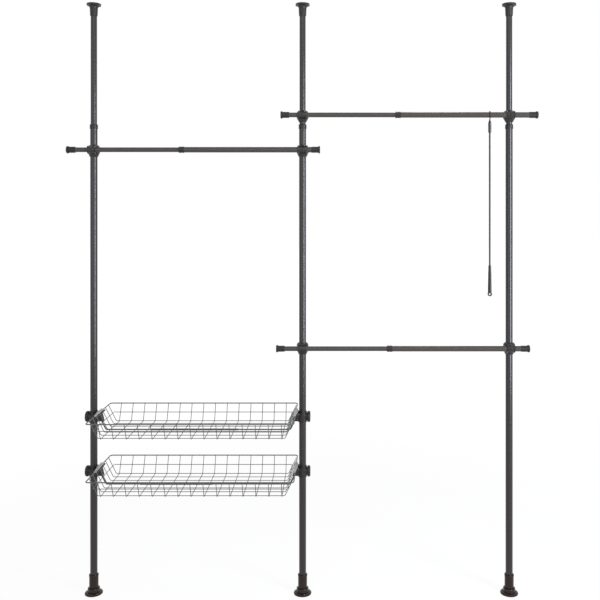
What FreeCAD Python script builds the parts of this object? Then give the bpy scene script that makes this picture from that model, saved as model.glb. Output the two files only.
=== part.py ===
"""Telescopic clothes rack: three floor-to-ceiling poles, three hanging rails, two wire baskets.

Millimetres, +Z up. The origin lies on the floor under the centre pole. The poles stand in the
XZ plane, the rails run along X in front of them, and the baskets hang in the left bay.
"""
import FreeCAD, Part
import Sketcher
import math
import os
import re

from FreeCAD import Placement, Rotation, Vector

document = FreeCAD.newDocument("ClothesRack")

# Driving dimensions, in millimetres
SIZES = {
    # Room height and the two bays, measured between pole axes
    "rack_height": 2680,
    "left_bay": 950,
    "right_bay": 940,
    # Radial or axial gaps: pressed or glued pieces, sliding pieces, pieces that only pass each other
    "fit_gap": 0.05,
    "running_gap": 0.08,
    "passing_gap": 0.3,
    "overrun": 2,
    # Pole tubes, how far the upper ones stand out of the collar on top of each lower tube
    "pole_diameter": 32,
    "pole_wall": 1.2,
    "upper_pole_diameter": 28,
    "upper_pole_wall": 1,
    "pole_overlap": 470,
    "upper_reach": 547,
    "collar_height": 21,
    "collar_diameter": 36,
    "collar_lip": 4,
    "collar_edge": 3,
    "plug_stem": 25,
    "plug_head": 22,
    "plug_bore": 8,
    # Ceiling caps
    "cap_height": 55,
    "cap_diameter": 64,
    "cap_rim": 7,
    "cap_neck_diameter": 36,
    "cap_neck_taper": 1.5,
    "cap_floor": 16,
    "cap_edge": 1.5,
    # Feet and their adjusting sleeves
    "foot_diameter": 80,
    "foot_rim": 4,
    "foot_dome_height": 10,
    "foot_dome_radius": 18,
    "foot_ring_diameter": 54,
    "foot_ring_top": 27,
    "foot_ring_edge": 4,
    "stud_diameter": 16,
    "stud_length": 48,
    "sleeve_top": 87,
    "sleeve_diameter": 41,
    "sleeve_floor": 12,
    "sleeve_lip_diameter": 43,
    "sleeve_lip": 9,
    "sleeve_edge": 2,
    # Hanging rails
    "rail_offset": 32,
    "rail_diameter": 25,
    "inner_rail_diameter": 21.5,
    "rail_wall": 1,
    "rail_insertion": 300,
    "left_rail_drop": 119,
    "left_rail_left_overhang": 112,
    "left_rail_right_overhang": 80,
    "left_rail_split": 394,
    "upper_rail_gap": 8,
    "upper_rail_left_overhang": 98,
    "upper_rail_right_overhang": 122,
    "upper_rail_split": 420,
    "lower_rail_height": 1117,
    "lower_rail_left_overhang": 118,
    "lower_rail_right_overhang": 84,
    "lower_rail_split": 382,
    # Rail collars and end caps
    "rail_collar_length": 23,
    "rail_collar_diameter": 28.5,
    "rail_collar_lip": 7,
    "rail_groove_width": 3,
    "rail_groove_depth": 1,
    "end_cap_length": 38,
    "end_cap_diameter": 28,
    "end_cap_flange_diameter": 33,
    "end_cap_flange": 8,
    "end_cap_floor": 5,
    "end_cap_edge": 1.5,
    "end_cap_rib_depth": 0.8,
    # Rail clamps
    "clamp_diameter": 54,
    "clamp_top": 24,
    "clamp_skirt": 30,
    "clamp_waist": 11,
    "clamp_crown": 14,
    "clamp_wall": 2,
    "clamp_ring_width": 28,
    "clamp_ring_diameter": 33,
    "clamp_flange_width": 3,
    "clamp_flange_diameter": 37,
    "clamp_boss_diameter": 13,
    "clamp_boss": 1,
    "clamp_screw_diameter": 5,
    "clamp_screw_head_diameter": 9,
    "clamp_screw_head": 2.5,
    # Wire baskets
    "upper_basket_height": 825,
    "lower_basket_height": 577,
    "basket_end_gap": 30,
    "basket_shift": 28,
    "basket_depth": 372,
    "basket_drop": 75,
    "basket_slope": 36,
    "rim_wire": 5,
    "rim_bend": 14,
    "grid_wire": 3,
    "grid_bend": 7,
    "weld_gap": 0.1,
    "cross_wire_margin": 13,
    "long_wire_margin": 4.5,
    "end_plate": 2,
    "end_plate_gap": 2,
    "end_plate_width": 16,
    "end_plate_half": 65,
    "end_plate_taper_start": 3,
    "end_plate_taper": 8,
    # Basket brackets, knobs and support bars
    "bracket_diameter": 39,
    "bracket_top": 3,
    "bracket_bottom": 46,
    "bracket_boss_diameter": 36,
    "bracket_boss_reach": 21,
    "arm_width": 24,
    "arm_bottom": 41,
    "arm_reach": 36,
    "arm_foot_reach": 45,
    "wing": 5,
    "wing_reach": 38,
    "wing_edge": 4,
    "wing_root": 18,
    "wing_front": 68,
    "wing_back": 50,
    "wing_slot": 6,
    "wing_slot_start": 31,
    "knob_diameter": 49,
    "knob_width": 14,
    "knob_dome": 1.5,
    "knob_edge": 2,
    "knob_stud_diameter": 8,
    "support_rod": 6,
    "support_bend": 9,
    "support_seat": 37,
    "support_seat_depth": 10,
    "support_tube": 8.5,
    "support_lap": 60,
    "support_knee": 3,
    "support_corner": 56,
    "upper_bar_left": 262,
    "upper_bar_right": 294,
    "lower_bar_left": 212,
    "lower_bar_right": 410,
    # Hook pole
    "hook_pole_place": 845,
    "hook_wire": 5,
    "hook_tip": 9,
    "hook_shank": 8,
    "hook_meet": 22,
    "hook_neck": 22,
    "hook_neck_bend": 7,
    "ferrule_diameter": 14,
    "ferrule_length": 58,
    "ferrule_taper": 14,
    "ferrule_edge": 2,
    "hook_rod": 8,
    "hook_rod_length": 599,
    "handle_length": 122,
    "handle_top_diameter": 13,
    "handle_bottom_diameter": 17,
    "handle_groove_depth": 1,
    "handle_groove_width": 4,
    "eye_diameter": 19,
    "eye_bore": 8.6,
    "eye_width": 9,
}

# Counts
CROSS_WIRES = 15
LONG_WIRES = 7
END_CAP_RIBS = 5
HANDLE_GROOVES = 3
# How far down its wall the middle wire of each basket wall runs
MID_WIRE_SHARE = 0.5

# Places worked out from the driving dimensions
PLACES = {
    "pole_bore": "pole_diameter / 2 - pole_wall",
    "upper_pole_bore": "upper_pole_diameter / 2 - upper_pole_wall",
    "collar_top": "rack_height - upper_reach",
    "upper_pole_bottom": "collar_top - pole_overlap",
    "upper_pole_top": "rack_height - cap_floor",
    "sleeve_bottom": "foot_ring_top + passing_gap",
    "sleeve_height": "sleeve_top - foot_ring_top - passing_gap",
    "pole_bottom": "foot_ring_top + passing_gap + sleeve_floor + passing_gap",
    "pole_top": "collar_top - collar_lip",
    "left_pole_place": "-left_bay",
    "right_pole_place": "right_bay",
    "left_rail_height": "collar_top - left_rail_drop",
    "upper_rail_height": "collar_top + upper_rail_gap + clamp_skirt",
    "left_rail_start": "-left_bay - left_rail_left_overhang",
    "left_rail_joint": "left_rail_split - left_bay",
    "upper_rail_end": "right_bay + upper_rail_right_overhang",
    "lower_rail_end": "right_bay + lower_rail_right_overhang",
    "basket_middle": "-left_bay / 2",
    "basket_length": "left_bay - 2 * basket_end_gap",
    "wall_inset": "(rim_wire + grid_wire) / 2 + weld_gap",
    "wall_top": "basket_depth / 2 - wall_inset",
    "wall_foot": "basket_depth / 2 - wall_inset - basket_slope",
    "end_top": "basket_length / 2 - wall_inset",
    "end_foot": "basket_length / 2 - wall_inset - basket_slope",
    "cross_wire_pitch": f"2 * (end_foot - cross_wire_margin) / {CROSS_WIRES - 1}",
    "long_wire_pitch": f"2 * (wall_foot - long_wire_margin) / {LONG_WIRES - 1}",
    "long_wire_level": "basket_drop - grid_wire - weld_gap",
    "end_plate_start": "bracket_diameter / 2 + end_plate_gap",
    "end_plate_reach": "bracket_diameter / 2 + end_plate_gap + end_plate_width",
    "arm_top": "rim_wire / 2 + passing_gap",
    "knob_stud_length": "bracket_boss_reach - pole_diameter / 2",
    "support_level": "basket_drop + (grid_wire + support_tube) / 2 + passing_gap",
    "ferrule_top": "upper_rail_height - hook_neck",
    "hook_rod_top": "ferrule_top - ferrule_length",
    "handle_top": "hook_rod_top - hook_rod_length",
}

sheet = document.addObject("Spreadsheet::Sheet", "Sizes")
for row, (alias, size) in enumerate(SIZES.items(), start=1):
    sheet.set(f"A{row}", alias)
    sheet.set(f"B{row}", str(size))
    sheet.setAlias(f"B{row}", alias)

places = document.addObject("Spreadsheet::Sheet", "Places")


def named(expression):
    """Write each size or place in an expression with the sheet that holds it."""
    def with_sheet(match):
        word = match.group(0)
        if word in SIZES:
            return f"Sizes.{word}"
        if word in PLACES:
            return f"Places.{word}"
        return word
    return re.sub(r"[a-z][a-z_]*", with_sheet, str(expression))


for row, (alias, formula) in enumerate(PLACES.items(), start=1):
    places.set(f"A{row}", alias)
    places.set(f"B{row}", "=" + named(formula))
    places.setAlias(f"B{row}", alias)
document.recompute()


def value(expression):
    """The present value of an expression, in millimetres."""
    return float(sheet.evalExpression(named(expression)))


def bind(item, **expressions):
    """Tie an object's properties to the sheets."""
    for name, expression in expressions.items():
        item.setExpression(name, named(expression))


def stand(item, x="0", y="0", z="0", turn=None):
    """Turn an object, then tie its place to the sheets."""
    item.Placement = Placement(Vector(value(x), value(y), value(z)), turn or Rotation())
    for letter, expression in zip("xyz", (x, y, z)):
        item.setExpression(f".Placement.Base.{letter}", named(expression))
    return item


ALONG_X = Rotation(Vector(0, 1, 0), 90)
AGAINST_X = Rotation(Vector(0, 1, 0), -90)
AGAINST_Y = Rotation(Vector(1, 0, 0), 90)


def origin_plane(body, role):
    """One of a body's own base planes."""
    return next(item for item in body.Origin.OriginFeatures if item.Role == role)


def arc_between(start, end, radius):
    """The shorter arc from start to end: it bulges to the right for a positive radius."""
    chord = end - start
    middle = (start + end) * 0.5
    across = Vector(-chord.y, chord.x, 0).normalize()
    rise = math.sqrt(radius ** 2 - (chord.Length / 2) ** 2)
    side = math.copysign(1, radius)
    centre = middle + across * rise * side
    crown = centre - across * abs(radius) * side
    return Part.Arc(start, crown, end)


def outline(sketch, corners):
    """Draw a closed outline and tie every corner to the sheets.

    A corner is (across, up), or (across, up, radius) where an arc leads on to the next corner.
    """
    points = [Vector(value(corner[0]), value(corner[1]), 0) for corner in corners]
    for index, corner in enumerate(corners):
        start = points[index]
        end = points[(index + 1) % len(points)]
        if len(corner) == 3:
            sketch.addGeometry(arc_between(start, end, value(corner[2])))
        else:
            sketch.addGeometry(Part.LineSegment(start, end))
    for index, corner in enumerate(corners):
        # An arc that was drawn clockwise is stored turned round, so its ends trade places
        begin = 2 if len(corner) == 3 and value(corner[2]) < 0 else 1
        before = corners[index - 1]
        finish = 1 if len(before) == 3 and value(before[2]) < 0 else 2
        last = (index - 1) % len(corners)
        sketch.addConstraint(Sketcher.Constraint("Coincident", last, finish, index, begin))
        for kind, expression in zip(("DistanceX", "DistanceY"), corner):
            if expression == "0":
                axis = -2 if kind == "DistanceX" else -1
                sketch.addConstraint(Sketcher.Constraint("PointOnObject", index, begin, axis))
                continue
            rule = Sketcher.Constraint(kind, -1, 1, index, begin, value(expression))
            place = sketch.addConstraint(rule)
            sketch.setExpression(f"Constraints[{place}]", named(expression))
        if len(corner) == 3:
            rule = Sketcher.Constraint("Radius", index, abs(value(corner[2])))
            place = sketch.addConstraint(rule)
            sketch.setExpression(f"Constraints[{place}]", named(f"abs({corner[2]})"))


def sketched(label, plane, corners):
    """A body with one outline on one of its base planes."""
    body = document.addObject("PartDesign::Body", label)
    sketch = body.newObject("Sketcher::SketchObject", f"{label}_outline")
    sketch.AttachmentSupport = (origin_plane(body, plane), [""])
    sketch.MapMode = "FlatFace"
    outline(sketch, corners)
    return body, sketch


def turned(label, corners):
    """A solid of revolution about Z. The corners are radius and height."""
    body, sketch = sketched(label, "XZ_Plane", corners)
    revolution = body.newObject("PartDesign::Revolution", f"{label}_turned")
    revolution.Profile = sketch
    revolution.ReferenceAxis = (sketch, ["V_Axis"])
    revolution.Angle = 360
    return body


def tube(label, diameter, wall, length):
    """A straight round tube that stands on its own base plane."""
    inside = f"{diameter} / 2 - {wall}"
    outside = f"{diameter} / 2"
    return turned(label, [(inside, "0"), (outside, "0"), (outside, length), (inside, length)])


def rod(label, diameter, length):
    """A cylinder along its own Z axis."""
    cylinder = document.addObject("Part::Cylinder", label)
    bind(cylinder, Radius=f"{diameter} / 2", Height=length)
    return cylinder


def fused(label, pieces):
    """Several shapes made into one solid."""
    union = document.addObject("Part::MultiFuse", label)
    union.Shapes = pieces
    union.Refine = True
    return union


def cut(label, base, tools):
    """A solid with one or more tools taken out of it."""
    difference = document.addObject("Part::Cut", label)
    difference.Base = base
    difference.Tool = tools[0] if len(tools) == 1 else fused(f"{label}_tools", tools)
    difference.Refine = True
    return difference


def group(label, pieces):
    """Separate solids that share one node."""
    compound = document.addObject("Part::Compound", label)
    compound.Links = pieces
    return compound


nodes = {}


# Poles: a thin upper tube runs in a thick lower tube, guided by a plug below and a collar above
def pole(side, place):
    nodes[f"{side}_lower_tube"] = stand(
        tube(f"{side}_lower_tube", "pole_diameter", "pole_wall", "pole_top - pole_bottom"),
        x=place, z="pole_bottom")
    nodes[f"{side}_upper_tube"] = stand(
        tube(f"{side}_upper_tube", "upper_pole_diameter", "upper_pole_wall",
             "upper_pole_top - upper_pole_bottom"),
        x=place, z="upper_pole_bottom")
    socket = "pole_diameter / 2 + fit_gap"
    guide = "upper_pole_diameter / 2 + running_gap"
    rim = "collar_diameter / 2"
    shelf = "collar_height - collar_lip"
    nodes[f"{side}_pole_collar"] = stand(
        turned(f"{side}_pole_collar", [
            (socket, "0"), (rim, "0"), (rim, "collar_height - collar_edge"),
            (f"{rim} - collar_edge", "collar_height"), (guide, "collar_height"),
            (guide, shelf), (socket, shelf)]),
        x=place, z="collar_top - collar_height")
    head = "pole_bore - running_gap"
    stem = "upper_pole_bore - fit_gap"
    nodes[f"{side}_pole_plug"] = stand(
        turned(f"{side}_pole_plug", [
            ("plug_bore / 2", "0"), (head, "0"), (head, "plug_head"), (stem, "plug_head"),
            (stem, "plug_head + plug_stem"), ("plug_bore / 2", "plug_head + plug_stem")]),
        x=place, z="upper_pole_bottom - plug_head")


# Ceiling caps: a flange that flares out of the neck like a trumpet, over the top of the upper tube
def ceiling_cap(side, place):
    socket = "upper_pole_diameter / 2 + fit_gap"
    neck = "cap_neck_diameter / 2"
    foot = "cap_neck_diameter / 2 - cap_neck_taper"
    rim = "cap_diameter / 2"
    flare = "(cap_diameter - cap_neck_diameter) / 2"
    nodes[f"{side}_ceiling_cap"] = stand(
        turned(f"{side}_ceiling_cap", [
            (socket, "0"), (f"{foot} - cap_edge", "0"), (foot, "cap_edge"),
            (neck, f"cap_height - cap_rim - {flare}", f"-{flare}"),
            (rim, "cap_height - cap_rim"), (rim, "cap_height"), ("0", "cap_height"),
            ("0", "cap_height - cap_floor"), (socket, "cap_height - cap_floor")]),
        x=place, z="rack_height - cap_height")


# Feet: a domed disc with a stepped ring and a stud, and the sleeve that turns on the stud
def foot(side, place):
    rim = "foot_diameter / 2"
    ring = "foot_ring_diameter / 2"
    stud = "stud_diameter / 2"
    stud_top = "foot_ring_top + stud_length"
    nodes[f"{side}_foot"] = stand(
        turned(f"{side}_foot", [
            ("0", "0"), (rim, "0"), (rim, "foot_rim", "foot_dome_radius"),
            (ring, "foot_dome_height"), (ring, "foot_ring_top - foot_ring_edge", "foot_ring_edge"),
            (f"{ring} - foot_ring_edge", "foot_ring_top"), (stud, "foot_ring_top"),
            (stud, stud_top), ("0", stud_top)]),
        x=place)
    thread = "stud_diameter / 2 + running_gap"
    socket = "pole_diameter / 2 + running_gap"
    skin = "sleeve_diameter / 2"
    lip = "sleeve_lip_diameter / 2"
    nodes[f"{side}_foot_sleeve"] = stand(
        turned(f"{side}_foot_sleeve", [
            (thread, "0"), (f"{skin} - sleeve_edge", "0"), (skin, "sleeve_edge"),
            (skin, "sleeve_height - sleeve_lip"),
            (lip, f"sleeve_height - sleeve_lip + {lip} - {skin}"),
            (lip, "sleeve_height - sleeve_edge", "sleeve_edge"),
            (f"{lip} - sleeve_edge", "sleeve_height"), (socket, "sleeve_height"),
            (socket, "sleeve_floor"), (thread, "sleeve_floor")]),
        x=place, z="sleeve_bottom")


for side, place in (("left", "left_pole_place"), ("centre", "0"), ("right", "right_pole_place")):
    pole(side, place)
    ceiling_cap(side, place)
    foot(side, place)


# Rail end caps: a flange and a ribbed skirt over the end of the tube
def end_cap(label, diameter, turn, place, height):
    socket = f"{diameter} / 2 + fit_gap"
    flange = "end_cap_flange_diameter / 2"
    skirt = "end_cap_diameter / 2"
    groove = f"{skirt} - end_cap_rib_depth"
    step = f"(end_cap_length - end_cap_flange) / {2 * END_CAP_RIBS + 1}"
    corners = [("0", "0"), (f"{flange} - end_cap_edge", "0"), (flange, "end_cap_edge"),
               (flange, "end_cap_flange"), (skirt, "end_cap_flange")]
    for rib in range(END_CAP_RIBS):
        start = f"end_cap_flange + {step} * {2 * rib + 1}"
        end = f"end_cap_flange + {step} * {2 * rib + 2}"
        corners += [(skirt, start), (groove, start), (groove, end), (skirt, end)]
    corners += [(skirt, "end_cap_length"), (socket, "end_cap_length"),
                (socket, "end_cap_floor"), ("0", "end_cap_floor")]
    return stand(turned(label, corners), x=place, y="-rail_offset", z=height, turn=turn)


# Hanging rails: the thin tube on the left slides in the thick tube on the right
def rail(name, start, split, end, height):
    inner_start = f"{start} + end_cap_floor"
    nodes[f"{name}_inner_tube"] = stand(
        tube(f"{name}_inner_tube", "inner_rail_diameter", "rail_wall",
             f"{split} + rail_insertion - ({inner_start})"),
        x=inner_start, y="-rail_offset", z=height, turn=ALONG_X)
    outer_start = f"{split} + rail_collar_lip"
    nodes[f"{name}_outer_tube"] = stand(
        tube(f"{name}_outer_tube", "rail_diameter", "rail_wall",
             f"{end} - end_cap_floor - ({outer_start})"),
        x=outer_start, y="-rail_offset", z=height, turn=ALONG_X)
    guide = "inner_rail_diameter / 2 + running_gap"
    socket = "rail_diameter / 2 + fit_gap"
    ring = "rail_collar_diameter / 2"
    groove = f"{ring} - rail_groove_depth"
    groove_start = "(rail_collar_length - rail_groove_width) / 2"
    groove_end = "(rail_collar_length + rail_groove_width) / 2"
    nodes[f"{name}_collar"] = stand(
        turned(f"{name}_collar", [
            (guide, "0"), (ring, "0"), (ring, groove_start), (groove, groove_start),
            (groove, groove_end), (ring, groove_end), (ring, "rail_collar_length"),
            (socket, "rail_collar_length"), (socket, "rail_collar_lip"),
            (guide, "rail_collar_lip")]),
        x=split, y="-rail_offset", z=height, turn=ALONG_X)
    nodes[f"{name}_left_cap"] = end_cap(
        f"{name}_left_cap", "inner_rail_diameter", ALONG_X, start, height)
    nodes[f"{name}_right_cap"] = end_cap(
        f"{name}_right_cap", "rail_diameter", AGAINST_X, end, height)


rail("left_rail", "left_rail_start", "left_rail_joint", "left_rail_right_overhang",
     "left_rail_height")
rail("upper_rail", "-upper_rail_left_overhang", "upper_rail_split", "upper_rail_end",
     "upper_rail_height")
rail("lower_rail", "-lower_rail_left_overhang", "lower_rail_split", "lower_rail_end",
     "lower_rail_height")


# Rail clamps: a waisted shell on the pole, and a flanged ring that carries the rail in front of it
def rail_clamp(name, pole_place, height, pole_diameter, rail_diameter):
    label = f"{name}_clamp"
    neck = f"{pole_diameter} / 2 + fit_gap + clamp_wall"
    waist = "clamp_diameter / 2"
    shell = turned(f"{label}_shell", [
        ("0", "-clamp_skirt"), (neck, "-clamp_skirt"), (waist, "-clamp_waist"),
        (waist, "clamp_waist", "clamp_crown"), (neck, "clamp_top"), ("0", "clamp_top")])
    ring_half = "clamp_ring_width / 2"
    flange_half = f"{ring_half} + clamp_flange_width"
    ring = "clamp_ring_diameter / 2"
    flange = "clamp_flange_diameter / 2"
    band = stand(
        turned(f"{label}_ring", [
            ("0", f"-({flange_half})"), (flange, f"-({flange_half})"), (flange, f"-({ring_half})"),
            (ring, f"-({ring_half})"), (ring, ring_half), (flange, ring_half),
            (flange, flange_half), ("0", flange_half)]),
        y="-rail_offset", turn=ALONG_X)
    screw_seat = f"{ring} + clamp_boss"
    boss = stand(rod(f"{label}_boss", "clamp_boss_diameter", screw_seat),
                 y="-rail_offset", turn=AGAINST_Y)
    pole_bore = stand(
        rod(f"{label}_pole_bore", f"({pole_diameter} + 2 * fit_gap)",
            "clamp_skirt + clamp_top + 2 * overrun"),
        z="-clamp_skirt - overrun")
    rail_bore = stand(
        rod(f"{label}_rail_bore", f"({rail_diameter} + 2 * fit_gap)",
            "clamp_diameter + 2 * overrun"),
        x=f"-({waist}) - overrun", y="-rail_offset", turn=ALONG_X)
    screw_bore = stand(
        rod(f"{label}_screw_bore", "(clamp_screw_diameter + 2 * fit_gap)",
            f"{screw_seat} + overrun"),
        y="-rail_offset", turn=AGAINST_Y)
    body = fused(f"{label}_body", [shell, band, boss])
    clamp = cut(label, body, [pole_bore, rail_bore, screw_bore])
    nodes[label] = stand(clamp, x=pole_place, z=height)
    stem = "clamp_screw_diameter / 2"
    top = "clamp_screw_head_diameter / 2"
    depth = f"{rail_diameter} / 2 + fit_gap - ({screw_seat})"
    nodes[f"{label}_screw"] = stand(
        turned(f"{label}_screw", [
            ("0", depth), (stem, depth), (stem, "0"), (top, "0"),
            (top, "clamp_screw_head"), ("0", "clamp_screw_head")]),
        x=pole_place, y=f"-rail_offset - ({screw_seat})", z=height, turn=AGAINST_Y)


for name, place, height, pole_size, rail_size in (
        ("left_rail_left", "left_pole_place", "left_rail_height",
         "pole_diameter", "inner_rail_diameter"),
        ("left_rail_right", "0", "left_rail_height",
         "pole_diameter", "rail_diameter"),
        ("upper_rail_left", "0", "upper_rail_height",
         "upper_pole_diameter", "inner_rail_diameter"),
        ("upper_rail_right", "right_pole_place", "upper_rail_height",
         "upper_pole_diameter", "rail_diameter"),
        ("lower_rail_left", "0", "lower_rail_height",
         "pole_diameter", "inner_rail_diameter"),
        ("lower_rail_right", "right_pole_place", "lower_rail_height",
         "pole_diameter", "rail_diameter")):
    rail_clamp(name, place, height, pole_size, rail_size)


def bent_path(points, bends):
    """Straight runs with a tangent arc at each inner point."""
    edges = []
    start = points[0]
    for before, corner, after, bend in zip(points, points[1:], points[2:], bends):
        back = (before - corner).normalize()
        ahead = (after - corner).normalize()
        half_angle = back.getAngle(ahead) / 2
        reach = bend / math.tan(half_angle)
        inward = (back + ahead).normalize()
        entry = corner + back * reach
        leave = corner + ahead * reach
        crown = corner + inward * (bend / math.sin(half_angle) - bend)
        if start.distanceToPoint(entry) > Part.Precision.confusion():
            edges.append(Part.LineSegment(start, entry).toShape())
        edges.append(Part.Arc(entry, crown, leave).toShape())
        start = leave
    edges.append(Part.LineSegment(start, points[-1]).toShape())
    return Part.Wire(edges)


def bent_wire(points, diameter, bends=()):
    """A round wire bent along a path."""
    path = bent_path(points, bends)
    section = Part.Wire(Part.makeCircle(diameter / 2, points[0], points[1] - points[0]))
    return path.makePipeShell([section], True, False)


def feature(label, shape, **place):
    """A shape of its own, placed by the sheets."""
    item = document.addObject("Part::Feature", label)
    item.Shape = shape
    return stand(item, **place)


# Baskets: a rim wire, and a welded grid of bent wires that hangs inside it
def basket(name, height):
    where = {"x": "basket_middle", "y": "-basket_shift", "z": height}
    end = value("basket_length") / 2
    side = value("basket_depth") / 2
    corners = [Vector(0, -side, 0), Vector(end, -side, 0), Vector(end, side, 0),
               Vector(-end, side, 0), Vector(-end, -side, 0), Vector(0, -side, 0)]
    rim = bent_wire(corners, value("rim_wire"), [value("rim_bend")] * 4)
    nodes[f"{name}_rim"] = feature(f"{name}_rim", rim, **where)

    grid = value("grid_wire")
    bends = [value("grid_bend")] * 2
    wall_top, wall_foot = value("wall_top"), value("wall_foot")
    end_top, end_foot = value("end_top"), value("end_foot")
    drop = value("basket_drop")
    cross_wires = []
    for index in range(CROSS_WIRES):
        x = value("cross_wire_pitch") * (index - (CROSS_WIRES - 1) / 2)
        cross_wires.append(bent_wire(
            [Vector(x, -wall_top, 0), Vector(x, -wall_foot, -drop),
             Vector(x, wall_foot, -drop), Vector(x, wall_top, 0)], grid, bends))
    nodes[f"{name}_cross_wires"] = feature(
        f"{name}_cross_wires", Part.makeCompound(cross_wires), **where)

    level = value("long_wire_level")
    long_wires = []
    for index in range(LONG_WIRES):
        y = value("long_wire_pitch") * (index - (LONG_WIRES - 1) / 2)
        long_wires.append(bent_wire(
            [Vector(-end_top, y, 0), Vector(-end_foot, y, -level),
             Vector(end_foot, y, -level), Vector(end_top, y, 0)], grid, bends))
    # The middle wires lie against the inner side of the walls
    apart = grid + value("weld_gap")
    slope = math.hypot(drop, wall_top - wall_foot)
    mid_height = MID_WIRE_SHARE * drop - apart * (wall_top - wall_foot) / slope
    mid_side = wall_top - MID_WIRE_SHARE * (wall_top - wall_foot) - apart * drop / slope
    end_slope = math.hypot(level, end_top - end_foot)
    end_height = MID_WIRE_SHARE * level - apart * (end_top - end_foot) / end_slope
    mid_end = end_top - MID_WIRE_SHARE * (end_top - end_foot) - apart * level / end_slope
    for way in (-1, 1):
        butt = mid_end - apart
        long_wires.append(bent_wire(
            [Vector(-butt, way * mid_side, -mid_height),
             Vector(butt, way * mid_side, -mid_height)], grid))
        long_wires.append(bent_wire(
            [Vector(way * mid_end, -mid_side, -end_height),
             Vector(way * mid_end, mid_side, -end_height)], grid))
    nodes[f"{name}_long_wires"] = feature(
        f"{name}_long_wires", Part.makeCompound(long_wires), **where)


def padded(label, plane, corners, length):
    """An outline on one of the base planes, made solid."""
    body, sketch = sketched(label, plane, corners)
    pad = body.newObject("PartDesign::Pad", f"{label}_pad")
    pad.Profile = sketch
    bind(pad, Length=length)
    return body


# End plates: a pale strip welded on top of the rim at each end of a basket, beside the pole
def end_plate(label, pole_place, height, inward):
    outer = f"{inward} * end_plate_start"
    inner = f"{inward} * end_plate_reach"
    plate = padded(label, "XY_Plane", [
        (f"{inward} * (end_plate_start + end_plate_taper)", "-end_plate_half"),
        (inner, "-end_plate_half"), (inner, "end_plate_half"), (outer, "end_plate_half"),
        (outer, "end_plate_taper_start")], "end_plate")
    return stand(plate, x=pole_place, y="-basket_shift",
                 z=f"{height} + rim_wire / 2 + weld_gap")


# Basket brackets: a ring on the pole, a winged arm inside and a boss for the knob outside
def bracket(label, pole_place, height, inward, outward_turn):
    ring = stand(rod(f"{label}_ring", "bracket_diameter", "bracket_bottom + bracket_top"),
                 z="-bracket_bottom")
    arm = padded(f"{label}_arm", "XZ_Plane", [
        ("0", "-arm_bottom"), (f"{inward} * arm_foot_reach", "-arm_bottom"),
        (f"{inward} * arm_reach", "-arm_top"), ("0", "-arm_top")], "arm_width")
    stand(arm, y="arm_width / 2")
    edge = f"{inward} * wing_reach"
    shoulder = f"{inward} * (wing_reach - wing_edge)"
    wing = padded(f"{label}_wing", "XY_Plane", [
        ("0", "-wing_root"), (shoulder, "-wing_front"), (edge, "-wing_front"),
        (edge, "wing_back"), (shoulder, "wing_back"), ("0", "wing_root")], "wing")
    stand(wing, z="-arm_top - wing")
    knob_level = "(bracket_top - bracket_bottom) / 2"
    boss = stand(rod(f"{label}_boss", "bracket_boss_diameter", "bracket_boss_reach"),
                 z=knob_level, turn=outward_turn)
    pole_bore = stand(
        rod(f"{label}_pole_bore", "(pole_diameter + 2 * fit_gap)",
            "bracket_bottom + bracket_top + 2 * overrun"),
        z="-bracket_bottom - overrun")
    stud_bore = stand(
        rod(f"{label}_stud_bore", "(knob_stud_diameter + 2 * running_gap)",
            "bracket_boss_reach + overrun"),
        z=knob_level, turn=outward_turn)
    seat = stand(
        rod(f"{label}_seat", "(support_rod + 2 * fit_gap)",
            "support_seat_depth + passing_gap + overrun"),
        x=f"{inward} * support_seat", z="-arm_bottom - overrun")
    # Two of the basket's end wires pass the wing in slots
    length = "wing_reach + overrun - wing_slot_start"
    near = "wing_slot_start" if inward > 0 else f"-wing_slot_start - ({length})"
    slots = []
    for step in range(2):
        slot = stand(document.addObject("Part::Box", f"{label}_slot"), x=near,
                     y=f"{step} * long_wire_pitch - basket_shift - wing_slot / 2",
                     z="-arm_top - wing - overrun")
        bind(slot, Length=length, Width="wing_slot", Height="wing + 2 * overrun")
        slots.append(slot)
    body = fused(f"{label}_body", [ring, arm, wing, boss])
    tools = [pole_bore, stud_bore, seat] + slots
    return stand(cut(label, body, tools), x=pole_place, z=height)


# Bracket knobs: a domed disc outside the pole, on a stud that bears on the pole
def knob(label, pole_place, outward, height, turn):
    rim = "knob_diameter / 2"
    stud = "knob_stud_diameter / 2"
    dome = f"(({rim})^2 + knob_dome^2) / (2 * knob_dome)"
    body = turned(label, [
        ("0", "-knob_stud_length"), (stud, "-knob_stud_length"), (stud, "0"),
        (f"{rim} - knob_edge", "0"), (rim, "knob_edge"), (rim, "knob_width - knob_dome", dome),
        ("0", "knob_width")])
    return stand(body, x=f"{pole_place} + {outward} * (bracket_boss_reach + passing_gap)",
                 z=f"{height} + (bracket_top - bracket_bottom) / 2", turn=turn)


# Support bars: two bent rods that start in the brackets, joined under the basket by a tube
def support_rod(label, pole_place, inward, reach, height):
    seat = inward * value("support_seat")
    corner = inward * value("support_corner")
    level = -value("support_level")
    bottom = value("arm_bottom")
    points = [Vector(seat, 0, value("support_seat_depth") - bottom),
              Vector(seat, 0, -bottom - value("support_knee")),
              Vector(corner, 0, level),
              Vector(inward * value(f"{reach} + support_lap"), 0, level)]
    shape = bent_wire(points, value("support_rod"), [value("support_bend")] * 2)
    return feature(label, shape, x=pole_place, z=height)


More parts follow.
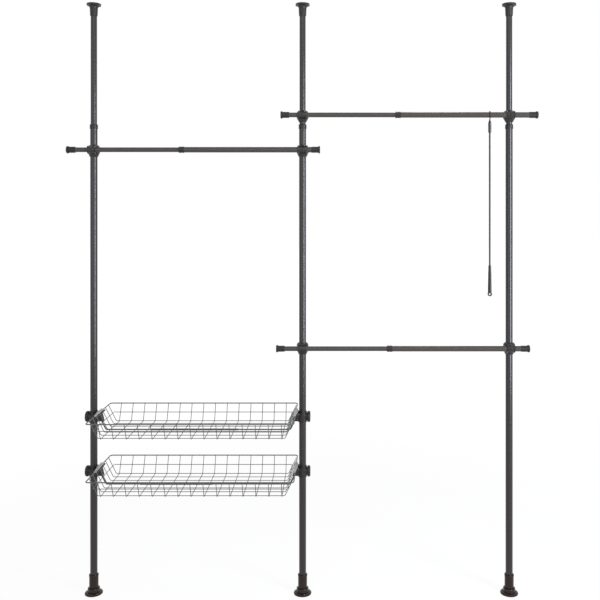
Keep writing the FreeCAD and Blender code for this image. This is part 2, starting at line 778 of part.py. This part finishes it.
brackets, bars = [], []
for level in ("upper", "lower"):
    height = f"{level}_basket_height"
    basket(f"{level}_basket", height)
    plates = []
    for side, place, inward, outward_turn in (
            ("left", "left_pole_place", 1, AGAINST_X), ("right", "0", -1, ALONG_X)):
        name = f"{level}_{side}"
        brackets.append(bracket(f"{name}_bracket", place, height, inward, outward_turn))
        plates.append(end_plate(f"{name}_end_plate", place, height, inward))
        bars.append(support_rod(f"{name}_support_rod", place, inward, f"{level}_bar_{side}", height))
        nodes[f"{name}_knob"] = knob(f"{name}_knob", place, -inward, height, outward_turn)
    nodes[f"{level}_basket_end_plates"] = group(f"{level}_basket_end_plates", plates)
    bars.append(stand(
        tube(f"{level}_support_tube", "support_tube", "((support_tube - support_rod) / 2 - fit_gap)",
             f"left_bay - {level}_bar_left - {level}_bar_right"),
        x=f"left_pole_place + {level}_bar_left", z=f"{height} - support_level", turn=ALONG_X))
nodes["basket_brackets"] = group("basket_brackets", brackets)
nodes["support_bars"] = group("support_bars", bars)


# Hook pole: it hangs on the upper rail by a bent wire hook
def hook_pole():
    where = {"x": "hook_pole_place", "y": "-rail_offset"}
    round_rail = value("rail_diameter / 2 + passing_gap + hook_wire / 2")
    neck_bend = value("hook_neck_bend")
    points = [Vector(0, round_rail, -value("hook_tip")), Vector(0, round_rail, round_rail),
              Vector(0, -round_rail, round_rail), Vector(0, -round_rail, -value("hook_shank")),
              Vector(0, 0, -value("hook_meet")), Vector(0, 0, -value("hook_neck + ferrule_taper"))]
    wire = bent_wire(points, value("hook_wire"), [round_rail, round_rail, neck_bend, neck_bend])
    hook = feature("pole_hook_wire", wire, z="upper_rail_height", **where)
    skin = "ferrule_diameter / 2"
    ferrule = stand(
        turned("pole_hook_ferrule", [
            ("0", "0"), (f"{skin} - ferrule_edge", "0"), (skin, "ferrule_edge"),
            (skin, "ferrule_length - ferrule_taper"), ("hook_wire / 2", "ferrule_length"),
            ("0", "ferrule_length")]),
        z="hook_rod_top", **where)
    nodes["pole_hook"] = fused("pole_hook", [hook, ferrule])
    nodes["hook_rod"] = stand(rod("hook_rod", "hook_rod", "hook_rod_length"), z="handle_top", **where)

    top = "handle_top_diameter / 2"
    bottom = "handle_bottom_diameter / 2"
    corners = [("0", "-handle_length"), (bottom, "-handle_length")]
    first = "handle_groove_width * "
    taper = f"({bottom} - {top}) / handle_length"
    for groove in reversed(range(1, 2 * HANDLE_GROOVES, 2)):
        low = f"{first}{groove + 1}"
        high = f"{first}{groove}"
        skin_low = f"{top} + {taper} * {low}"
        skin_high = f"{top} + {taper} * {high}"
        corners += [(skin_low, f"-{low}"), (f"{skin_low} - handle_groove_depth", f"-{low}"),
                    (f"{skin_high} - handle_groove_depth", f"-{high}"), (skin_high, f"-{high}")]
    corners += [(top, "0"), ("0", "0")]
    grip = stand(turned("hook_handle_grip", corners), z="handle_top", **where)
    eye_level = "handle_top - handle_length - (eye_diameter + eye_bore) / 4"
    eye = stand(rod("hook_handle_eye", "eye_diameter", "eye_width"), x="hook_pole_place",
                y="eye_width / 2 - rail_offset", z=eye_level, turn=AGAINST_Y)
    eye_bore = stand(rod("hook_handle_eye_bore", "eye_bore", "handle_bottom_diameter + 2 * overrun"),
                     x="hook_pole_place", y="handle_bottom_diameter / 2 + overrun - rail_offset",
                     z=eye_level, turn=AGAINST_Y)
    nodes["hook_handle"] = cut("hook_handle", fused("hook_handle_body", [grip, eye]), [eye_bore])


hook_pole()


# Like pieces that stay together on one side of the rack share a node
def gather(label, names):
    nodes[label] = group(label, [nodes.pop(name) for name in names])


gather("fixed_pole_collars", ["left_pole_collar", "centre_pole_collar"])
gather("fixed_rail_caps", ["left_rail_left_cap", "left_rail_right_cap", "lower_rail_left_cap"])
gather("fixed_clamp_screws", ["left_rail_left_clamp_screw", "left_rail_right_clamp_screw",
                              "lower_rail_left_clamp_screw"])

document.recompute()
for item in document.Objects:
    if {"Invalid", "Error"} & set(item.State):
        raise RuntimeError(f"{item.Name} failed: {item.State}")
for label, item in nodes.items():
    if item.Shape.isNull() or not item.Shape.isValid():
        raise RuntimeError(f"{label} has no valid shape")

os.makedirs("parts", exist_ok=True)
for label, item in nodes.items():
    item.Label = label
    item.Shape.exportStep(f"parts/{label}.step")
    print(f"{label}: {len(item.Shape.Solids)} solids, {item.Shape.Volume / 1000:.2f} cm3")
print(f"{len(nodes)} nodes")
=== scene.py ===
import math

import bmesh
import bpy
from mathutils import Matrix, Vector


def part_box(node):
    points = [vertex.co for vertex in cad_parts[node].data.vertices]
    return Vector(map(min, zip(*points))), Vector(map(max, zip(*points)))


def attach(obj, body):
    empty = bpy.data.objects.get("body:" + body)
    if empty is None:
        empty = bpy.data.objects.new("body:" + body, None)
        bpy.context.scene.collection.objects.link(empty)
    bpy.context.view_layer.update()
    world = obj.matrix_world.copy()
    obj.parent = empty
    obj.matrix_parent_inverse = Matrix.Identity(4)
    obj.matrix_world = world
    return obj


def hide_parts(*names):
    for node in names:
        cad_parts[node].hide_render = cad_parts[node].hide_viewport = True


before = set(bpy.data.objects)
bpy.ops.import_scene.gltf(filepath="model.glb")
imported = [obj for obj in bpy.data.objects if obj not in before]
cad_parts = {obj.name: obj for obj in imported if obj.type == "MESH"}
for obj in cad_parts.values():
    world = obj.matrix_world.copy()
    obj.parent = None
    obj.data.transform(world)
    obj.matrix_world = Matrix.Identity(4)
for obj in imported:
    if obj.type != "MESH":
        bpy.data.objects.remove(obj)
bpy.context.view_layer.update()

# Pole tubes: round steel tube, the thin upper one running in the thick lower one.
# The steel is sprayed with satin anthracite lacquer, which gives a soft highlight along the tube
# and a faint orange peel that breaks it up. Its colour is warmed towards brown here, a painted
# reflection of a dark brown floor.
MM_PER_M = 1000
PEEL_MM = 2.5
CLOUD_MM = 90
CLOUD_DETAIL = 3.0
GRAIN_DETAIL = 2.0
RELIEF_STRENGTH = 0.35


def linear(code):
    """An sRGB hex colour as linear RGBA."""
    shares = [int(code[place:place + 2], 16) / 255 for place in (1, 3, 5)]
    return [c / 12.92 if c <= 0.04045 else ((c + 0.055) / 1.055) ** 2.4 for c in shares] + [1.0]


def add(tree, kind, links=None, values=None, **settings):
    """Add a node with its settings, its plain values and what feeds its sockets."""
    made = tree.nodes.new(kind)
    for name, setting in settings.items():
        setattr(made, name, setting)
    for socket, value in (values or {}).items():
        made.inputs[socket].default_value = value
    for socket, source in (links or {}).items():
        tree.links.new(source, made.inputs[socket])
    return made


def blank_material(name):
    """A material with an empty tree and its output."""
    material = bpy.data.materials.new(name)
    material.use_nodes = True
    tree = material.node_tree
    tree.nodes.clear()
    return material, tree, add(tree, "ShaderNodeOutputMaterial")


def coated(name, colour, tone, roughness, grain_mm, cloud_mm, grain_depth_mm=0, spread=0.03,
           **sockets):
    """A coated or moulded surface: two close tones in clouds, and a fine grain in its gloss.

    A grain with a depth is in relief too.
    """
    material, tree, output = blank_material(name)
    where = add(tree, "ShaderNodeTexCoord").outputs["Object"]
    cloud = add(tree, "ShaderNodeTexNoise", {"Vector": where},
                {"Scale": MM_PER_M / cloud_mm, "Detail": CLOUD_DETAIL})
    grain = add(tree, "ShaderNodeTexNoise", {"Vector": where},
                {"Scale": MM_PER_M / grain_mm, "Detail": GRAIN_DETAIL})
    tint = add(tree, "ShaderNodeMix", {0: cloud.outputs[0]}, {6: linear(colour), 7: linear(tone)},
               data_type="RGBA")
    gloss = add(tree, "ShaderNodeMapRange", {"Value": grain.outputs[0]},
                {"To Min": roughness - spread, "To Max": roughness + spread})
    shader = add(tree, "ShaderNodeBsdfPrincipled",
                 {"Base Color": tint.outputs[2], "Roughness": gloss.outputs[0]}, sockets)
    if grain_depth_mm:
        relief = add(tree, "ShaderNodeBump", {"Height": grain.outputs[0]},
                     {"Strength": RELIEF_STRENGTH, "Distance": grain_depth_mm / MM_PER_M})
        tree.links.new(relief.outputs[0], shader.inputs["Normal"])
    tree.links.new(shader.outputs[0], output.inputs["Surface"])
    return material


def finish(material, *names):
    """Give CAD nodes a finish."""
    for name in names:
        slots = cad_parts[name].data.materials
        slots.clear()
        slots.append(material)


# Painted reflection: the brownish warmth of these two tones stands in for a dark brown floor seen
# in the lacquer.
satin_lacquer_and_painted_reflection = coated("satin_anthracite_lacquer_and_painted_reflection", "#231e1b", "#1f1a17", roughness=0.22,
                       grain_mm=PEEL_MM, cloud_mm=CLOUD_MM, spread=0.015)
SIDES = ("left", "centre", "right")
for side in SIDES:
    finish(satin_lacquer_and_painted_reflection, f"{side}_lower_tube", f"{side}_upper_tube")

# Pole collars, guide plugs and ceiling caps: injection-moulded black polypropylene.
# The mould is spark-eroded, which leaves a fine dull grain.
moulded_plastic = coated("moulded_black_polypropylene", "#292624", "#24211f", roughness=0.36,
                         grain_mm=1.5, cloud_mm=40, grain_depth_mm=0.01,
                         **{"Specular IOR Level": 0.3})
finish(moulded_plastic, "fixed_pole_collars", "right_pole_collar")
for side in SIDES:
    finish(moulded_plastic, f"{side}_pole_plug", f"{side}_ceiling_cap")

# Feet: a domed disc with a threaded stud, and the sleeve that screws up and down on it.
# The ABS is near black, and polished moulds give it a deep gloss with small sharp glints.
# Its colour is brown-black here: the brown is a painted reflection of a dark brown floor.
# Painted reflection: the brown in these two tones stands in for a dark brown floor seen in the
# gloss.
gloss_plastic_and_painted_reflection = coated("polished_black_abs_and_painted_reflection", "#271a12", "#21160f", roughness=0.1, grain_mm=6.0,
                       cloud_mm=60, spread=0.01, **{"Specular IOR Level": 0.28})
for side in SIDES:
    finish(gloss_plastic_and_painted_reflection, f"{side}_foot", f"{side}_foot_sleeve")

# Hanging rails: two steel tubes, one in the other, in a grey-brown lacquer paler than the poles'.
# Polished black polypropylene clamps, which shine at their edges, hold them in front of the poles.
# Collars and ribbed end caps are the dull moulded polypropylene.
rail_lacquer = coated("satin_grey_brown_lacquer", "#443f3b", "#3e3935", roughness=0.25,
                      grain_mm=PEEL_MM, cloud_mm=CLOUD_MM, spread=0.015,
                      **{"Specular IOR Level": 0.35})
clamp_plastic = coated("polished_black_polypropylene", "#242120", "#1f1c1b", roughness=0.18,
                       grain_mm=3.0, cloud_mm=40, spread=0.01, **{"Specular IOR Level": 0.45})
for rail in ("left_rail", "upper_rail", "lower_rail"):
    finish(rail_lacquer, f"{rail}_inner_tube", f"{rail}_outer_tube")
    finish(moulded_plastic, f"{rail}_collar")
    finish(clamp_plastic, f"{rail}_left_clamp", f"{rail}_right_clamp")
finish(moulded_plastic, "fixed_rail_caps", "upper_rail_left_cap", "upper_rail_right_cap",
       "lower_rail_right_cap")

# Clamp screws: steel pan heads, turned and then struck with a cross recess. Black oxide leaves
# them dark, with a dull metal gleam. Each one sits on the boss at the front of its clamp.
MERGE_M = 1e-6
SCREW_STEPS = 48
SCREW_PROFILE = ((0, -4.9), (2.5, -4.9), (2.5, 0), (4.2, 0), (4.5, 0.3), (4.5, 0.9), (4.2, 1.6),
                 (3.4, 2.15), (2.1, 2.4), (0, 2.5))
SCREW_SEAT_Y = -0.0495
RECESS = (0.0052, 0.0011, 0.0028)
FIXED_SCREWS = ((-0.95, 2.014), (0, 2.014), (0, 1.117))
LOOSE_SCREWS = {"upper_rail_left": ("centre_upper_pole", 0, 2.171),
                "upper_rail_right": ("right_upper_pole", 0.94, 2.171),
                "lower_rail_right": ("right_pole", 0.94, 1.117)}


def turned(name, profile, steps=72):
    """A closed turned mesh about Z from (radius, height) in mm, first and last on the axis."""
    form = bmesh.new()
    points = [form.verts.new((radius / MM_PER_M, 0, height / MM_PER_M))
              for radius, height in profile]
    line = [form.edges.new(pair) for pair in zip(points, points[1:])]
    bmesh.ops.spin(form, geom=points + line, axis=(0, 0, 1), cent=(0, 0, 0),
                   angle=2 * math.pi, steps=steps, use_merge=True)
    bmesh.ops.remove_doubles(form, verts=form.verts, dist=MERGE_M)
    bmesh.ops.recalc_face_normals(form, faces=form.faces)
    mesh = bpy.data.meshes.new(name)
    form.to_mesh(mesh)
    form.free()
    return mesh


def geometry_tree(name, **sockets):
    """A Geometry Nodes tree with a mesh and named values going in, and what they come from."""
    tree = bpy.data.node_groups.new(name, "GeometryNodeTree")
    tree.interface.new_socket("Geometry", in_out="OUTPUT", socket_type="NodeSocketGeometry")
    tree.interface.new_socket("Geometry", in_out="INPUT", socket_type="NodeSocketGeometry")
    for label, kind in sockets.items():
        tree.interface.new_socket(label, in_out="INPUT", socket_type=f"NodeSocket{kind}")
    return tree, add(tree, "NodeGroupInput").outputs


def close_tree(tree, shape, material):
    """End a tree: instances made real, and the finish put on."""
    real = add(tree, "GeometryNodeRealizeInstances", {0: shape})
    painted = add(tree, "GeometryNodeSetMaterial",
                  {"Geometry": real.outputs[0], "Material": material})
    add(tree, "NodeGroupOutput", {0: painted.outputs[0]})


def grown(name, mesh, tree, crease=35, **inputs):
    """An object with the mesh that a tree makes from a first one, smooth but for sharp edges."""
    piece = bpy.data.objects.new(name, mesh)
    bpy.context.scene.collection.objects.link(piece)
    growth = piece.modifiers.new("growth", "NODES")
    growth.node_group = tree
    for item in tree.interface.items_tree:
        if item.in_out == "INPUT" and item.name in inputs:
            growth[item.identifier] = inputs[item.name]
    ready = piece.evaluated_get(bpy.context.evaluated_depsgraph_get())
    made = bpy.data.meshes.new_from_object(ready)
    piece.modifiers.clear()
    piece.data = made
    made.shade_smooth()
    made.set_sharp_from_angle(angle=math.radians(crease))
    return piece


def points_mesh(name, places):
    """A mesh of loose points."""
    mesh = bpy.data.meshes.new(name)
    mesh.from_pydata(places, [], [])
    return mesh


black_steel = coated("black_oxide_screw", "#2a2b2c", "#252627", roughness=0.3, grain_mm=1.0,
                     cloud_mm=10, Metallic=0.4)
recess_tree, given = geometry_tree("cross_recess", Along="Vector", Across="Vector",
                                   Finish="Material")
first = add(recess_tree, "GeometryNodeMeshCube", {"Size": given["Along"]})
second = add(recess_tree, "GeometryNodeMeshCube", {"Size": given["Across"]})
cross = add(recess_tree, "GeometryNodeMeshBoolean", {1: first.outputs[0]}, operation="UNION")
recess_tree.links.new(second.outputs[0], cross.inputs[1])
lifted = add(recess_tree, "GeometryNodeTransform", {"Geometry": cross.outputs[0]},
             {"Translation": (0, 0, SCREW_PROFILE[-1][1] / MM_PER_M)})
struck = add(recess_tree, "GeometryNodeMeshBoolean", {0: given["Geometry"], 1: lifted.outputs[0]},
             operation="DIFFERENCE")
close_tree(recess_tree, struck.outputs[0], given["Finish"])

repeat_tree, given = geometry_tree("set_out", Pattern="Object", Turn="Rotation", Finish="Material")
pattern = add(repeat_tree, "GeometryNodeObjectInfo", {"Object": given["Pattern"]})
copies = add(repeat_tree, "GeometryNodeInstanceOnPoints",
             {"Points": given["Geometry"], "Instance": pattern.outputs["Geometry"],
              "Rotation": given["Turn"]})
close_tree(repeat_tree, copies.outputs[0], given["Finish"])

length, width, deep = RECESS
screw = grown("screw_pattern", turned("screw_pattern", SCREW_PROFILE, SCREW_STEPS), recess_tree,
              Along=(length, width, deep), Across=(width, length, deep), Finish=black_steel)


def screws(name, places, body, node):
    """Clamp screws that point to the front, in the place of a CAD node."""
    seats = points_mesh(name, [(x, SCREW_SEAT_Y, z) for x, z in places])
    piece = grown(name, seats, repeat_tree, Pattern=screw, Turn=(math.pi / 2, 0, 0),
                  Finish=black_steel)
    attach(piece, body)
    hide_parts(node)


screws("fixed_pan_screws", FIXED_SCREWS, "frame", "fixed_clamp_screws")
for end, (body, x, z) in LOOSE_SCREWS.items():
    screws(f"{end}_pan_screw", [(x, z)], body, f"{end}_clamp_screw")
bpy.data.objects.remove(screw)

# Basket brackets and knobs: black polypropylene, moulded in one piece each.
# A knob has grip ribs round its edge and a dished face, and a threaded stud that presses on the
# pole.
KNOB_PROFILE = ((0, -5), (4, -5), (4, 0), (21, 0), (22.6, 0.6), (23.3, 2.0), (23.3, 11.2),
                (22.7, 12.7), (21.4, 13.7), (19.6, 14), (18.2, 13.7), (17.2, 13.0), (16.2, 12.7),
                (6.4, 12.7), (5.6, 13.1), (4.4, 13.4), (0, 13.5))
KNOB_TIP = 0.014
RIBS = 24
RIB_CENTRE = (0.0233, 0.0066)
RIB_SIZE = (0.0012, 0.0012, 0.0052)
RIB_SEGMENTS = 14
RIB_RINGS = 10
finish(moulded_plastic, "basket_brackets")
rib_tree, given = geometry_tree("grip_ribs", Count="Int", Round="Float", Level="Vector",
                                Size="Vector", Finish="Material")
ring = add(rib_tree, "GeometryNodeMeshCircle",
           {"Vertices": given["Count"], "Radius": given["Round"]})
drop = add(rib_tree, "GeometryNodeMeshUVSphere",
           values={"Segments": RIB_SEGMENTS, "Rings": RIB_RINGS, "Radius": 1.0})
ribs = add(rib_tree, "GeometryNodeInstanceOnPoints",
           {"Points": ring.outputs[0], "Instance": drop.outputs[0], "Scale": given["Size"]})
raised = add(rib_tree, "GeometryNodeTransform",
             {"Geometry": ribs.outputs[0], "Translation": given["Level"]})
both = add(rib_tree, "GeometryNodeJoinGeometry", {0: raised.outputs[0]})
rib_tree.links.new(given["Geometry"], both.inputs[0])
close_tree(rib_tree, both.outputs[0], given["Finish"])
for level in ("upper", "lower"):
    for side, outward in (("left", -1), ("right", 1)):
        name = f"{level}_{side}_knob"
        low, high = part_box(name)
        knob = grown(f"{level}_{side}_grip_knob", turned(name, KNOB_PROFILE), rib_tree, Count=RIBS,
                     Round=RIB_CENTRE[0], Level=(0, 0, RIB_CENTRE[1]), Size=RIB_SIZE,
                     Finish=moulded_plastic)
        face = low[0] if outward < 0 else high[0]
        place = Vector((face - outward * KNOB_TIP, (low[1] + high[1]) / 2, (low[2] + high[2]) / 2))
        knob.data.transform(Matrix.Translation(place)
                            @ Matrix.Rotation(outward * math.pi / 2, 4, "Y"))
        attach(knob, name)
        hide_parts(name)

# Baskets: steel wire, bent, spot-welded at every crossing and dipped in lacquer, which leaves it an
# even dark grey. A matt, pale zinc-plated strip is welded on the rim at each end, and the support
# bar below has a satin black lacquer.
BASKET_MIDDLE = (-0.475, -0.028)
RIM_LEVELS = {"upper": 0.825, "lower": 0.577}
CROSS_WIRES = 15
CROSS_PITCH = 0.056
LONG_WIRES = 7
LONG_PITCH = 0.0471
CROSS_AT = [CROSS_PITCH * (place - CROSS_WIRES // 2) for place in range(CROSS_WIRES)]
LONG_AT = [LONG_PITCH * (place - LONG_WIRES // 2) for place in range(LONG_WIRES)]
WELD_LEVEL = -0.07345
RIM_WELDS = (0.1839, 0.4429, -0.0004)
WALL_WELDS = (0.1627, -0.0381)
END_WELDS = (0.4217, -0.0366)
BEAD_PROFILE = ((0, -1.5), (0.9, -1.25), (1.5, -0.6), (1.65, 0), (1.5, 0.6), (0.9, 1.25),
                (0, 1.5))
BEAD_STEPS = 12
BEAD_CREASE = 60
wire_lacquer = coated("dipped_grey_lacquer", "#555554", "#4e4e4d", roughness=0.36, grain_mm=2.0,
                      cloud_mm=50)
zinc_plate = coated("zinc_plated_sheet", "#c6c6c0", "#b9bab4", roughness=0.5, grain_mm=3.0,
                    cloud_mm=30)
bead = bpy.data.objects.new("bead_pattern", turned("bead_pattern", BEAD_PROFILE, BEAD_STEPS))
bpy.context.scene.collection.objects.link(bead)
for level, rim_level in RIM_LEVELS.items():
    finish(wire_lacquer, f"{level}_basket_rim", f"{level}_basket_cross_wires",
           f"{level}_basket_long_wires")
    finish(zinc_plate, f"{level}_basket_end_plates")
    marks = [(x, y, WELD_LEVEL) for x in CROSS_AT for y in LONG_AT]
    for way in (-1, 1):
        for x in CROSS_AT:
            marks += [(x, way * RIM_WELDS[0], RIM_WELDS[2]),
                      (x, way * WALL_WELDS[0], WALL_WELDS[1])]
        for y in LONG_AT:
            marks += [(way * RIM_WELDS[1], y, RIM_WELDS[2]),
                      (way * END_WELDS[0], y, END_WELDS[1])]
    mesh = points_mesh(f"{level}_welds",
                       [(BASKET_MIDDLE[0] + x, BASKET_MIDDLE[1] + y, rim_level + z)
                        for x, y, z in marks])
    welds = grown(f"{level}_basket_welds", mesh, repeat_tree, BEAD_CREASE, Pattern=bead,
                  Turn=(0, 0, 0), Finish=wire_lacquer)
    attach(welds, f"{level}_basket")
bpy.data.objects.remove(bead)
bar_lacquer = coated("satin_black_lacquer", "#282828", "#232323", roughness=0.34,
                     grain_mm=PEEL_MM, cloud_mm=CLOUD_MM)
finish(bar_lacquer, "support_bars")

# Hook pole: a lacquered wire hook in a ferrule, a thin rod and a moulded handle with a ring eye.
# It hangs by the hook on the upper rail at the right.
finish(satin_lacquer_and_painted_reflection, "pole_hook", "hook_rod")
finish(moulded_plastic, "hook_handle")

# Studio floor and sky: both are white to the camera and in reflections.
# Near the rack a small share of the floor takes real light, so that a faint shadow stays on it.
WHITE = linear("#ffffff")
FLOOR_PAINT = linear("#ededed")
FLOOR_HALF = 40.0
FLOOR_SHADE = 0.12
FLOOR_GLOW = 1.055
SHADE_REACH = (1.5, 5.0)
SKY_FILL = 0.25


def seen_directly(tree):
    """1 for rays that show the background itself: from the camera, a reflection or a clear body."""
    path = add(tree, "ShaderNodeLightPath").outputs
    first = add(tree, "ShaderNodeMath", {0: path["Is Camera Ray"], 1: path["Is Glossy Ray"]},
                operation="MAXIMUM")
    return add(tree, "ShaderNodeMath", {0: first.outputs[0], 1: path["Is Transmission Ray"]},
               operation="MAXIMUM").outputs[0]


floor_mesh = bpy.data.meshes.new("floor")
corners = [(-FLOOR_HALF, -FLOOR_HALF, 0), (FLOOR_HALF, -FLOOR_HALF, 0),
           (FLOOR_HALF, FLOOR_HALF, 0), (-FLOOR_HALF, FLOOR_HALF, 0)]
floor_mesh.from_pydata(corners, [], [(0, 1, 2, 3)])
floor = bpy.data.objects.new("floor", floor_mesh)
bpy.context.scene.collection.objects.link(floor)
white_floor, tree, output = blank_material("white_studio_floor")
matt = add(tree, "ShaderNodeBsdfDiffuse", values={"Color": FLOOR_PAINT})
glow = add(tree, "ShaderNodeEmission", values={"Color": WHITE, "Strength": FLOOR_GLOW})
away = add(tree, "ShaderNodeVectorMath", {0: add(tree, "ShaderNodeTexCoord").outputs["Object"]},
           operation="LENGTH")
plain = add(tree, "ShaderNodeMapRange", {"Value": away.outputs["Value"]},
            {"From Min": SHADE_REACH[0], "From Max": SHADE_REACH[1], "To Min": 1 - FLOOR_SHADE})
share = add(tree, "ShaderNodeMath", {0: seen_directly(tree), 1: plain.outputs[0]},
            operation="MULTIPLY")
mixed = add(tree, "ShaderNodeMixShader",
            {0: share.outputs[0], 1: matt.outputs[0], 2: glow.outputs[0]})
tree.links.new(mixed.outputs[0], output.inputs["Surface"])
floor_mesh.materials.append(white_floor)

world = bpy.data.worlds.new("studio")
bpy.context.scene.world = world
world.use_nodes = True
tree = world.node_tree
tree.nodes.clear()
sky = add(tree, "ShaderNodeBackground", values={"Color": WHITE, "Strength": 1.0})
fill = add(tree, "ShaderNodeBackground", values={"Color": WHITE, "Strength": SKY_FILL})
mixed = add(tree, "ShaderNodeMixShader",
            {0: seen_directly(tree), 1: fill.outputs[0], 2: sky.outputs[0]})
add(tree, "ShaderNodeOutputWorld", {"Surface": mixed.outputs[0]})


# Lamps: a tall panel at the right draws the highlight along the poles, and a wide one in front
# fills. A long one above the camera catches the rails' tops, and a small one overhead the feet.
def softbox(name, place, aim, width, height, watts, colour):
    """A rectangular lamp that faces a point."""
    light = bpy.data.lights.new(name, "AREA")
    light.shape = "RECTANGLE"
    light.size = width
    light.size_y = height
    light.energy = watts
    light.color = linear(colour)[:3]
    lamp = bpy.data.objects.new(name, light)
    lamp.location = place
    lamp.rotation_euler = (Vector(aim) - Vector(place)).to_track_quat("-Z", "Y").to_euler()
    lamp.visible_camera = False
    bpy.context.scene.collection.objects.link(lamp)


softbox("key_panel", place=(2.95, -2.5, 1.65), aim=(0, 0, 1.65), width=1.1, height=2.8,
        watts=175, colour="#e4eeff")
softbox("front_panel", place=(-2.0, -4.5, 2.0), aim=(-0.6, 0, 2.0), width=7.0, height=3.4,
        watts=55, colour="#e0ebff")
softbox("overhead", place=(0, -4.2, 4.4), aim=(0, 0, 1.6), width=5.0, height=0.6,
        watts=45, colour="#fff6ec")
softbox("ceiling_panel", place=(0.9, 0.6, 4.6), aim=(0, 0, 0), width=0.5, height=0.5,
        watts=15, colour="#fff6ec")

# Camera: level, at eye height in front of the rack, and shifted so that its horizon lies above
# the middle of the picture.
EYE = Vector((0.127, -3.4, 1.704))
FOCAL_PX = 747.0
HORIZON_PX = (330.5, 218.5)
FRAME_PX = 600.0
camera_data = bpy.data.cameras.new("camera")
camera_data.sensor_fit = "HORIZONTAL"
camera_data.lens = camera_data.sensor_width * FOCAL_PX / FRAME_PX
camera_data.shift_x = 0.5 - HORIZON_PX[0] / FRAME_PX
camera_data.shift_y = HORIZON_PX[1] / FRAME_PX - 0.5
camera = bpy.data.objects.new("camera", camera_data)
camera.location = EYE
camera.rotation_euler = (math.pi / 2, 0, 0)
bpy.context.scene.collection.objects.link(camera)
bpy.context.scene.camera = camera
bpy.context.scene.view_settings.view_transform = "Standard"
